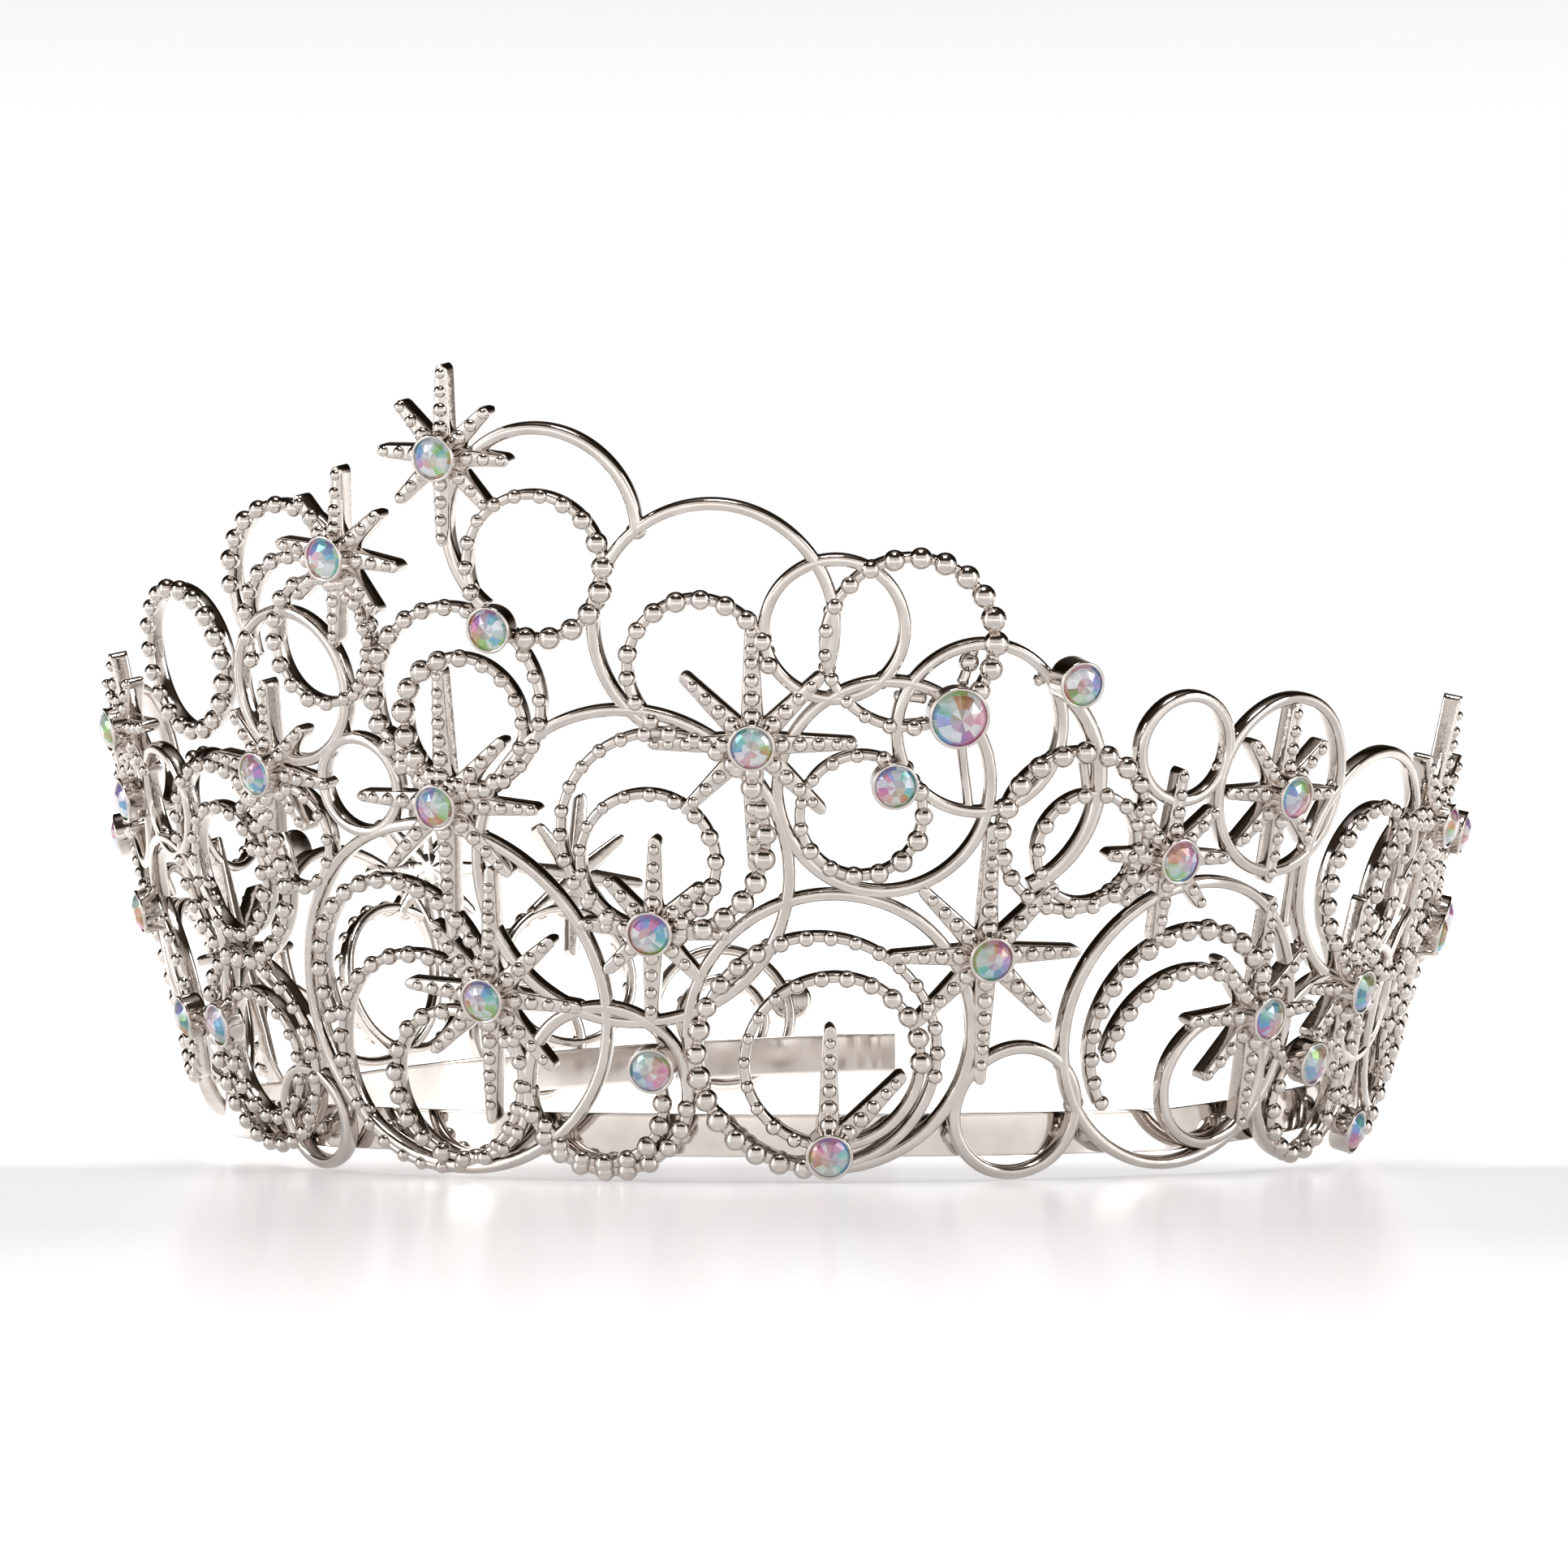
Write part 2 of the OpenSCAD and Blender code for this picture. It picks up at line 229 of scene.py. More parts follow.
class Shape:
    """Points, faces and optional per-face numbers gathered into one mesh."""

    def __init__(self):
        self.points = []
        self.faces = []
        self.marks = []
        self.spots = []
        self.count = 0

    def add(self, points, faces, mark=(0.0, 0.0)):
        self.points.append(np.asarray(points, dtype=float))
        self.faces += [tuple(i + self.count for i in f) for f in faces]
        self.marks += [mark] * len(faces)
        self.count += len(points)

    def build(self, name, material, replaced=(), sharp=None, smooth=True):
        mesh = bpy.data.meshes.new(name)
        mesh.from_pydata((np.vstack(self.points) * MM).tolist(), [], self.faces)
        if any(m != (0.0, 0.0) for m in self.marks):
            layer = mesh.uv_layers.new(name="facet")
            for face, mark in zip(mesh.polygons, self.marks):
                for loop in face.loop_indices:
                    layer.data[loop].uv = mark
        if self.spots:
            spots = np.vstack(self.spots)
            layer = mesh.uv_layers.new(name="spot")
            for loop in mesh.loops:
                layer.data[loop.index].uv = spots[loop.vertex_index]
        mesh.polygons.foreach_set("use_smooth", [smooth] * len(mesh.polygons))
        if sharp:
            mesh.set_sharp_from_angle(angle=math.radians(sharp))
        mesh.materials.append(material)
        piece = bpy.data.objects.new(name, mesh)
        bpy.context.scene.collection.objects.link(piece)
        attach(piece, "root")
        if replaced:
            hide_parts(*replaced)
        return piece


def grid_faces(rows, columns, close_rows=False):
    """Quads of a grid of points, row by row. Each row is a closed loop."""
    faces = []
    for row in range(rows if close_rows else rows - 1):
        here, above = row * columns, (row + 1) % rows * columns
        for column in range(columns):
            after = (column + 1) % columns
            faces.append((here + column, here + after, above + after, above + column))
    return faces


def wire_section(half_width, half_deep, count, power):
    """A rounded section centred on the wire; a higher power makes it squarer."""
    turns = np.arange(count) * TAU / count
    c, s = np.cos(turns), np.sin(turns)
    x = half_width * np.sign(c) * np.abs(c) ** (2 / power)
    y = half_deep * np.sign(s) * np.abs(s) ** (2 / power)
    return np.column_stack([x, y])


def wobble(turns, seed, size):
    """A slow, closed, hand-made unevenness round a ring."""
    rng = random.Random(seed)
    return size * sum(np.sin(turns * k + rng.uniform(0, TAU)) / k for k in (2, 3, 5, 7))


def add_ring(shape, ring, seed):
    """A closed ring of wire, or an open one, wrapped on the lacework."""
    closed = ring.sweep == TAU
    count = max(48, int(ring.radius * 9))
    turns = ring.start + np.arange(count) * ring.sweep / (count if closed else count - 1)
    section = wire_section(ring.half_width, ring.half_deep, 20, 3.0)
    radius = ring.radius + wobble(turns, seed, 0.05)
    swell = 1 + wobble(turns, seed + 1, 0.03)
    rows = []
    for i, turn in enumerate(turns):
        r = radius[i] + section[:, 0] * swell[i]
        rows.append(np.column_stack(
            [r * math.cos(turn), r * math.sin(turn), section[:, 1] * swell[i]]))
    flat = np.vstack(rows)
    corners = len(section)
    faces = [tuple(reversed(f)) for f in grid_faces(count, corners, close_rows=closed)]
    if not closed:
        faces.append(tuple(range(corners)))
        faces.append(tuple(reversed([(count - 1) * corners + j for j in range(corners)])))
    shape.add(wrap(ring.psi, ring.z, flat), faces)


def ball(radius, squash=1.0, columns=20, rows=12):
    """A ball's points and faces, squashed along w."""
    points = [(0, 0, radius * squash)]
    for i in range(1, rows):
        tilt = math.pi * i / rows
        for j in range(columns):
            turn = TAU * j / columns
            points.append((
                radius * math.sin(tilt) * math.cos(turn),
                radius * math.sin(tilt) * math.sin(turn),
                radius * squash * math.cos(tilt)))
    points.append((0, 0, -radius * squash))
    faces = [(0, 1 + j, 1 + (j + 1) % columns) for j in range(columns)]
    for a, b, c, d in grid_faces(rows - 1, columns):
        faces.append((a + 1, d + 1, c + 1, b + 1))
    last = len(points) - 1
    base = last - columns
    faces += [(last, base + (j + 1) % columns, base + j) for j in range(columns)]
    return np.array(points), faces


def add_lathe(shape, psi, z, profile):
    """A turned shape on the lacework from (radius, w) points, closed at both ends."""
    columns = 48
    points = []
    for radius, w in profile:
        for j in range(columns):
            a = TAU * j / columns
            points.append((radius * math.cos(a), radius * math.sin(a), w))
    faces = grid_faces(len(profile), columns)
    faces.append(tuple(reversed(range(columns))))
    faces.append(tuple((len(profile) - 1) * columns + j for j in range(columns)))
    shape.add(wrap_rigid(psi, z, points), faces)


# ---------------------------------------------------------------- materials

def new_material(name):
    material = bpy.data.materials.new(name)
    material.use_nodes = True
    nodes = material.node_tree.nodes
    return material, nodes, material.node_tree.links, nodes["Principled BSDF"]


def ramp(nodes, stops):
    """A colour ramp from (place, colour) stops."""
    node = nodes.new("ShaderNodeValToRGB")
    while len(node.color_ramp.elements) < len(stops):
        node.color_ramp.elements.new(0.5)
    for element, (place, colour) in zip(node.color_ramp.elements, stops):
        element.position = place
        element.color = (*colour, 1)
    return node


def noise(nodes, links, scale, detail=3.0, stretch=None):
    """Noise in the object's own space, in features per metre."""
    place = nodes.new("ShaderNodeTexCoord")
    node = nodes.new("ShaderNodeTexNoise")
    node.inputs["Scale"].default_value = scale
    node.inputs["Detail"].default_value = detail
    if stretch:
        mapping = nodes.new("ShaderNodeMapping")
        mapping.inputs["Scale"].default_value = stretch
        links.new(place.outputs["Object"], mapping.inputs["Vector"])
        links.new(mapping.outputs["Vector"], node.inputs["Vector"])
    else:
        links.new(place.outputs["Object"], node.inputs["Vector"])
    return node


def plated_metal(name, light, dark, rough, grain=900.0, dent=0.04, stretch=None):
    """Bright plating: slightly uneven colour and polish, and a faintly pitted skin."""
    material, nodes, links, shader = new_material(name)
    shader.inputs["Metallic"].default_value = 1.0
    tone = ramp(nodes, [(0.35, dark), (0.65, light)])
    links.new(noise(nodes, links, grain * 0.4).outputs["Fac"], tone.inputs["Fac"])
    links.new(tone.outputs["Color"], shader.inputs["Base Color"])
    polish = ramp(nodes, [(0.3, (rough * 0.7,) * 3), (0.75, (rough * 1.5,) * 3)])
    links.new(noise(nodes, links, grain * 0.7, stretch=stretch).outputs["Fac"], polish.inputs["Fac"])
    links.new(polish.outputs["Color"], shader.inputs["Roughness"])
    bump = nodes.new("ShaderNodeBump")
    bump.inputs["Strength"].default_value = dent
    bump.inputs["Distance"].default_value = 0.0002
    links.new(noise(nodes, links, grain, 4.0, stretch).outputs["Fac"], bump.inputs["Height"])
    links.new(bump.outputs["Normal"], shader.inputs["Normal"])
    return material


def calculate(nodes, links, operation, first, second=None):
    """The result of a maths node."""
    node = nodes.new("ShaderNodeMath")
    node.operation = operation
    links.new(first, node.inputs[0])
    if isinstance(second, (int, float)):
        node.inputs[1].default_value = second
    elif second is not None:
        links.new(second, node.inputs[1])
    return node.outputs["Value"]


def blend(nodes, links, factor, first, second, kind="MIX"):
    """The colour mixed from two; each input is a plain value or a node's output."""
    node = nodes.new("ShaderNodeMix")
    node.data_type = "RGBA"
    node.blend_type = kind
    for name, value in (("Factor", factor), ("A", first), ("B", second)):
        if isinstance(value, bpy.types.NodeSocket):
            links.new(value, node.inputs[name])
        else:
            node.inputs[name].default_value = value
    return node.outputs["Result"]


def coated_glass(name):
    """Foiled stone with a rainbow coating, whose facets show wedges of changing colour: painted
    reflections in its base colour, with white flashes as painted highlights and darker facets as
    painted shade.
    """
    material, nodes, links, shader = new_material(name)
    spot = nodes.new("ShaderNodeUVMap")
    spot.uv_map = "spot"
    place = nodes.new("ShaderNodeSeparateXYZ")
    links.new(spot.outputs["UV"], place.inputs["Vector"])
    mark = nodes.new("ShaderNodeUVMap")
    mark.uv_map = "facet"
    stone = nodes.new("ShaderNodeSeparateXYZ")
    links.new(mark.outputs["UV"], stone.inputs["Vector"])
    x = calculate(nodes, links, "SUBTRACT", place.outputs["X"], 0.5)
    y = calculate(nodes, links, "SUBTRACT", place.outputs["Y"], 0.5)
    turn = calculate(nodes, links, "ARCTAN2", y, x)
    away = calculate(nodes, links, "SQRT", calculate(
        nodes, links, "ADD", calculate(nodes, links, "MULTIPLY", x, x),
        calculate(nodes, links, "MULTIPLY", y, y)))
    ring = calculate(nodes, links, "FLOOR", calculate(nodes, links, "MULTIPLY", away, 4.65))
    wedge = calculate(nodes, links, "FLOOR", calculate(
        nodes, links, "ADD", calculate(nodes, links, "MULTIPLY", turn, FACETS / TAU),
        calculate(nodes, links, "MULTIPLY", ring, 0.5)))
    cell = nodes.new("ShaderNodeCombineXYZ")
    links.new(wedge, cell.inputs["X"])
    links.new(ring, cell.inputs["Y"])
    links.new(stone.outputs["X"], cell.inputs["Z"])
    chance = nodes.new("ShaderNodeTexWhiteNoise")
    links.new(cell.outputs["Vector"], chance.inputs["Vector"])
    drift = calculate(nodes, links, "ADD", stone.outputs["X"], calculate(
        nodes, links, "MULTIPLY", turn, 1 / TAU))
    hue = calculate(nodes, links, "FRACT", calculate(
        nodes, links, "ADD", drift, calculate(
            nodes, links, "MULTIPLY", chance.outputs["Value"], 0.35)))
    # Wedge colours: painted reflections of the stone's back facets and coating.
    reflection_tint = ramp(nodes, [
        (0.0, (0.12, 0.48, 0.36)), (0.13, (0.11, 0.36, 0.62)), (0.27, (0.30, 0.22, 0.60)),
        (0.40, (0.60, 0.13, 0.33)), (0.53, (0.62, 0.38, 0.42)), (0.66, (0.48, 0.18, 0.06)),
        (0.80, (0.24, 0.52, 0.12)), (0.92, (0.58, 0.68, 0.72)), (1.0, (0.12, 0.48, 0.36))])
    links.new(hue, reflection_tint.inputs["Fac"])
    split = nodes.new("ShaderNodeSeparateColor")
    links.new(chance.outputs["Color"], split.inputs["Color"])
    # White flashes mixed into chance facets: painted highlights.
    painted_glint = ramp(nodes, [
        (0.0, (0.0, 0.0, 0.0)), (0.65, (0.12, 0.12, 0.12)), (0.74, (0.75, 0.75, 0.75)),
        (1.0, (1.0, 1.0, 1.0))])
    links.new(split.outputs["Green"], painted_glint.inputs["Fac"])
    off_table = ramp(nodes, [(0.0, (0.35, 0.35, 0.35)), (0.5, (1.0, 1.0, 1.0))])
    links.new(ring, off_table.inputs["Fac"])
    coloured = blend(
        nodes, links, off_table.outputs["Color"], (0.56, 0.40, 0.40, 1), reflection_tint.outputs["Color"])
    with_painted_glints = blend(nodes, links, painted_glint.outputs["Color"], coloured, (0.68, 0.72, 0.76, 1))
    # Random darkening of facets: painted shade in the facet reflections.
    painted_facet_shade = ramp(nodes, [(0.0, (0.62, 0.60, 0.62)), (0.45, (1.0, 1.0, 1.0))])
    links.new(split.outputs["Blue"], painted_facet_shade.inputs["Fac"])
    shaded = blend(nodes, links, 1.0, with_painted_glints, painted_facet_shade.outputs["Color"], "MULTIPLY")
    links.new(shaded, shader.inputs["Base Color"])
    shader.inputs["Metallic"].default_value = 0.25
    shader.inputs["Roughness"].default_value = 0.12
    shader.inputs["Coat Weight"].default_value = 0.5
    shader.inputs["Coat Roughness"].default_value = 0.02
    shader.inputs["Coat IOR"].default_value = 1.55
    return material


NICKEL = (0.72, 0.67, 0.635)
NICKEL_DARK = (0.63, 0.58, 0.54)
wire_metal = plated_metal("plated_wire", NICKEL, NICKEL_DARK, 0.09, 650.0, 0.16)
bead_metal = plated_metal("plated_beads", NICKEL, NICKEL_DARK, 0.09, 800.0, 0.16)
star_metal = plated_metal("plated_star", NICKEL, NICKEL_DARK, 0.11, 1100.0, 0.22)
cup_metal = plated_metal("plated_cup", NICKEL, NICKEL_DARK, 0.08)
solder_metal = plated_metal("plated_solder", NICKEL_DARK, (0.7, 0.66, 0.62), 0.2, 1500.0, 0.15)
band_metal = plated_metal("plated_band", NICKEL, NICKEL_DARK, 0.09, 500.0, 0.02, (1, 1, 0.15))
stone_glass = coated_glass("coated_stone")


# ---------------------------------------------------------------- rings and beads

def build_plain_rings():
    for n, (node, rings) in enumerate(plain_rings.items()):
        shape = Shape()
        for i, ring in enumerate(rings):
            add_ring(shape, ring, 31 * n + i)
        shape.build("wire_" + node, wire_metal, [node])


def build_wire_sweep():
    ring = Ring(solids("wire_sweep")[0])
    ring.find_span()
    shape = Shape()
    add_ring(shape, ring, 977)
    shape.build("wire_wire_sweep", wire_metal, ["wire_sweep"])


def ring_beads(ring, balls):
    """Turn, outward place and radius of a ring's beads, with gaps in the row filled in."""
    slack, highest, widest_gap = 0.12, 1.6, 4
    flat = flatten(ring.psi, ring.z, balls[:, :3])
    near = np.abs(np.hypot(flat[:, 0], flat[:, 1]) - ring.radius) < slack
    near &= (flat[:, 2] > 0) & (flat[:, 2] < highest)
    middle = np.median(flat[near, 2])
    near &= np.abs(flat[:, 2] - middle) < 0.1
    turns = np.arctan2(flat[near, 1], flat[near, 0]) % TAU
    order = np.argsort(turns)
    turns, sizes = turns[order], balls[near, 3][order]
    step = np.median(np.diff(turns))
    step = TAU / round(TAU / step)
    beads = []
    for i, turn in enumerate(turns):
        beads.append((turn, sizes[i]))
        after = turns[i + 1] if i + 1 < len(turns) else turns[0] + TAU
        later = sizes[(i + 1) % len(turns)]
        missing = round((after - turn) / step) - 1
        if missing > widest_gap:
            continue
        for k in range(1, missing + 1):
            t = k / (missing + 1)
            beads.append((turn + k * step, sizes[i] * (1 - t) + later * t))
    return middle, beads


def build_beaded_rings():
    balls = []
    for node in ("large_ring_beads", "small_ring_beads"):
        for points in solids(node):
            low, high = points.min(axis=0), points.max(axis=0)
            span = high - low
            single = span.max() < 1.1 * span.min()
            if single:
                balls.append([*((low + high) / 2), span.mean() / 2])
    balls = np.array(balls)
    beads = Shape()
    for n, (node, rings) in enumerate(bead_rails.items()):
        shape = Shape()
        for i, ring in enumerate(rings):
            add_ring(shape, ring, 500 + 31 * n + i)
            out, row = ring_beads(ring, balls)
            rng = random.Random(1500 + 31 * n + i)
            for turn, size in row:
                size *= rng.uniform(0.94, 1.07)
                turn += rng.uniform(-0.12, 0.12) / ring.radius
                points, faces = ball(size, rng.uniform(0.9, 1.0))
                spot = (ring.radius * math.cos(turn), ring.radius * math.sin(turn), out)
                beads.add(wrap(ring.psi, ring.z, points + spot), faces)
        shape.build("rail_" + node, bead_metal, [node])
    beads.build("ring_beads", bead_metal, ["large_ring_beads", "small_ring_beads"])


# ---------------------------------------------------------------- seats, stars, stones

class Seat:
    """A bezel cup: its place, outer radius and rim height, and its stone's size."""

    def __init__(self, points):
        low, high = points.min(axis=0), points.max(axis=0)
        self.psi, self.z, _ = unwrap((low + high) / 2)
        for _ in range(3):
            flat = flatten(self.psi, self.z, points)
            middle = (flat.min(axis=0) + flat.max(axis=0)) / 2
            place = wrap_rigid(self.psi, self.z, [middle])[0]
            self.psi, self.z, _ = unwrap(place)
        flat = flatten(self.psi, self.z, points)
        self.foot, self.rim = flat[:, 2].min(), flat[:, 2].max()
        self.radius = (np.ptp(flat[:, 0]) + np.ptp(flat[:, 1])) / 4
        self.centre = place


seats = [Seat(s) for s in solids("bezel_cups")]
large_seats = [Seat(s) for s in solids("large_bezel_cup")]
star_nodes = sorted(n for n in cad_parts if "star" in n)


def star_front(flat, seat):
    """Level of the flat front of a star's arms: the most common height far from its cup."""
    away = np.hypot(flat[:, 0], flat[:, 1])
    levels = np.round(flat[(away > seat.radius + 2) & (flat[:, 2] > 0), 2], 2)
    values, counts = np.unique(levels, return_counts=True)
    return float(values[counts.argmax()])


def add_arm(shape, seat, turn, reach, root, tip, back, front, seed):
    """One tapered arm with rounded edges and tip, and its row of domed beads."""
    rng = random.Random(seed)
    steps, corners = 26, 20
    rows = []
    for i in range(steps + 1):
        t = i / steps
        along = reach * (1 - (1 - t) ** 1.5)
        width = (root + (tip - root) * along / reach) / 2
        left = reach - along
        if left < width:
            width *= math.sqrt(max(0.02, 1 - (1 - left / width) ** 2))
        section = wire_section(width, (front - back) / 2, corners, 5.0)
        rows.append(np.column_stack([
            section[:, 0], np.full(corners, along), section[:, 1] + (front + back) / 2]))
    faces = [tuple(reversed(f)) for f in grid_faces(steps + 1, corners)]
    faces.append(tuple(range(corners)))
    faces.append(tuple(reversed([steps * corners + j for j in range(corners)])))
    shape.add(wrap(seat.psi, seat.z, np.vstack(rows), turn), faces)
    first, bare_tip, sunk = seat.radius + 0.55, 0.3, 0.12
    count = int((reach - first - bare_tip) / DOME_PITCH)
    for i in range(count + 1):
        along = first + DOME_PITCH * i * (0.94 if i > 3 else 1.0)
        width = root + (tip - root) * along / reach
        size = width * rng.uniform(0.40, 0.44)
        points, bead_faces = ball(size, 0.95, 18, 10)
        spot = (0, along, front - sunk)
        shape.add(wrap(seat.psi, seat.z, points + spot, turn), bead_faces)


def star_arms(seat, points):
    """The turn and the reach of each arm of a star, read from its CAD solid."""
    half_lane, shortest, tip_depth = 1.2, 5, 0.4
    flat = flatten(seat.psi, seat.z, points)
    away = np.hypot(flat[:, 0], flat[:, 1])
    upper = flat[:, 1] > 0
    tip = flat[upper & (away > 0.985 * away[upper].max())].mean(axis=0)
    lean = math.atan2(tip[0], tip[1])
    arms = []
    for k in range(8):
        turn = lean + k * TAU / 8
        along = flat[:, 0] * math.sin(turn) + flat[:, 1] * math.cos(turn)
        across = flat[:, 0] * math.cos(turn) - flat[:, 1] * math.sin(turn)
        lane = np.abs(across) < half_lane
        reach = along[lane].max()
        if reach > shortest:
            tip = flat[lane & (along > reach - tip_depth)].mean(axis=0)
            arms.append((math.atan2(tip[0], tip[1]), reach))
    return arms


def star_seat(points):
    """The cup on a star: the one nearest its middle, or nearest its foot if it has few arms."""
    near_enough, foot_height = 3.5, 3
    low, high = points.min(axis=0), points.max(axis=0)
    spot = (low + high) / 2
    near = min(seats, key=lambda seat: np.linalg.norm(seat.centre - spot))
    if np.linalg.norm(near.centre - spot) > near_enough:
        spot = points[points[:, 2] < low[2] + foot_height].mean(axis=0)
        near = min(seats, key=lambda seat: np.linalg.norm(seat.centre - spot))
    return near


def build_stars():
    for node in star_nodes:
        for n, points in enumerate(solids(node)):
            seat = star_seat(points)
            shape = Shape()
            arms = star_arms(seat, points)
            is_long = max(reach for _, reach in arms) > LONG_REACH
            root, tip = LONG_ARM if is_long else SHORT_ARM
            flat = flatten(seat.psi, seat.z, points)
            back = flat[:, 2].min()
            front = star_front(flat, seat)
            for k, (turn, reach) in enumerate(arms):
                add_arm(shape, seat, turn, reach, root, tip, back, front, 71 * n + k)
            boss = seat.radius * 0.9
            add_lathe(shape, seat.psi, seat.z, [
                (boss - 0.5, back), (boss, back + 0.3), (boss, front - 0.2), (boss - 0.3, front)])
            replaced = [node] if n == 0 else []
            shape.build(node + "_" + str(n + 1), star_metal, replaced, sharp=50)


def build_cups():
    for name, group, node in (
            ("cups", seats, "bezel_cups"), ("large_cup", large_seats, "large_bezel_cup")):
        shape = Shape()
        for seat in group:
            outer, rim, foot = seat.radius, seat.rim, seat.foot - 0.3
            add_lathe(shape, seat.psi, seat.z, [
                (outer - 0.55, foot), (outer - 0.1, foot + 0.2), (outer, foot + 0.6),
                (outer - 0.02, rim - 0.35), (outer + 0.02, rim - 0.12), (outer - 0.05, rim),
                (outer - 0.22, rim + 0.05), (outer - 0.36, rim - 0.02), (outer - 0.40, rim - 0.2),
                (outer - 0.42, rim - 0.9), (outer - 1.2, rim - 1.5)])
        shape.build(name, cup_metal, [node], sharp=55)


def stone_points(radius, rise):
    """Corners of a cut stone: a small table, a row of kites and a rim, and a point behind."""
    points = []
    table, kites, girdle, rim_corners = 0.43 * radius, 0.76 * radius, 0.12 * radius, 40
    for k in range(FACETS):
        a = TAU * k / FACETS
        points.append((table * math.cos(a), table * math.sin(a), rise))
        b = a + TAU / (2 * FACETS)
        points.append((kites * math.cos(b), kites * math.sin(b), rise * 0.62))
    for k in range(rim_corners):
        a = TAU * k / rim_corners
        points.append((radius * math.cos(a), radius * math.sin(a), 0.0))
        points.append((radius * math.cos(a), radius * math.sin(a), -girdle))
    points.append((0, 0, -0.5 * radius))
    return points


def build_stones():
    for name, group, node in (
            ("stone_set", seats, "stones"), ("large_stone_set", large_seats, "large_stone")):
        shape = Shape()
        for n, seat in enumerate(group):
            rng = random.Random(700 + n)
            radius = seat.radius - 0.38
            hull = bmesh.new()
            for point in stone_points(radius, radius * 0.40):
                hull.verts.new(point)
            bmesh.ops.convex_hull(hull, input=hull.verts)
            bmesh.ops.dissolve_limit(
                hull, angle_limit=0.01, verts=hull.verts, edges=hull.edges)
            bmesh.ops.recalc_face_normals(hull, faces=hull.faces)
            hull.verts.index_update()
            flat = np.array([v.co[:] for v in hull.verts])
            shape.spots.append(flat[:, :2] / radius * 0.5 + 0.5)
            flat[:, 2] += seat.rim - 0.25
            faces = [[v.index for v in face.verts] for face in hull.faces]
            tone = rng.random()
            shape.add(wrap_rigid(seat.psi, seat.z, flat, rng.uniform(0, TAU)), faces, (tone, 1.0))
            hull.free()
        shape.build(name, stone_glass, [node], smooth=False)


def build_solder():
    """Small uneven beads of solder where rings meet the band."""
    shape = Shape()
    for n, points in enumerate(solids("solder_pads")):
        psi, z, w = unwrap((points.min(axis=0) + points.max(axis=0)) / 2)
        rng = random.Random(40 + n)
        blob, faces = ball(1.15, 0.75)
        lumps = 1 + 0.08 * np.sin(blob[:, 0] * 4 + rng.uniform(0, 6)) * np.cos(blob[:, 1] * 5)
        shape.add(wrap_rigid(psi, z, blob * lumps[:, None] + (0, 0, w)), faces)
    shape.build("solder_blobs", solder_metal, ["solder_pads"])


def band_path(points, around, radius, reach):
    """Places along the middle of the band and its end tabs, with rising angles."""
    path = []
    for side in (-1, 1):
        far = side * around > (side * around).max() - math.radians(0.8)
        tip = points[far].mean(axis=0)
        start = np.array([side * radius * math.sin(reach), -radius * math.cos(reach)])
        for t in (1.0, 0.985, 0.6, 0.3):
            path.append((side * (reach + t * 0.05), start + (tip[:2] - start) * t))
    for turn in np.linspace(-reach + 0.02, reach - 0.02, 240):
        path.append((turn, np.array([radius * math.sin(turn), -radius * math.cos(turn)])))
    path.sort(key=lambda item: item[0])
    return [turn for turn, _ in path], np.array([place for _, place in path])


def build_band():
    """The strip band, swept along the CAD band's path with softened corners."""
    points = solids("head_band")[0]
    away = np.hypot(points[:, 0], points[:, 1])
    outer = np.median(away[away > away.mean()])
    inner = np.median(away[away < away.mean()])
    around = np.arctan2(points[:, 0], -points[:, 1])
    curved = (np.abs(away - outer) < 0.02) | (np.abs(away - inner) < 0.02)
    reach = np.abs(around[curved]).max()
    middle = np.interp(around, *band_line(around[curved], points[curved, 2], 0.5))
    below, above = curved & (points[:, 2] < middle), curved & (points[:, 2] > middle)
    low_line = band_line(around[below], points[below, 2], 0.0)
    high_line = band_line(around[above], points[above, 2], 1.0)
    radius, half_thick = (outer + inner) / 2, (outer - inner) / 2
    turns, places = band_path(points, around, radius, reach)
    turns = np.clip(turns, -reach, reach)
    low, high = np.interp(turns, *low_line), np.interp(turns, *high_line)
    ahead = np.gradient(places, axis=0)
    ahead /= np.linalg.norm(ahead, axis=1)[:, None]
    out = np.column_stack([ahead[:, 1], -ahead[:, 0]])
    section = wire_section(1.0, 1.0, 32, 14.0)
    rows = []
    for i, place in enumerate(places):
        flat = place + out[i] * section[:, :1] * half_thick
        tall = (high[i] + low[i]) / 2 + section[:, 1] * (high[i] - low[i]) / 2
        rows.append(np.column_stack([flat, tall]))
    faces = grid_faces(len(places), len(section))
    faces.append(tuple(reversed(range(len(section)))))
    faces.append(tuple((len(places) - 1) * len(section) + j for j in range(len(section))))
    shape = Shape()
    shape.add(np.vstack(rows), faces)
    shape.build("head_band_strip", band_metal, ["head_band"], sharp=35)


def band_line(turns, heights, share):
    """A curve of heights round the band, from scattered points, as two sorted lists."""
    steps = np.unique(np.round(turns, 2))
    levels = [np.quantile(heights[np.abs(turns - step) < 0.03], share) for step in steps]
    return steps, levels


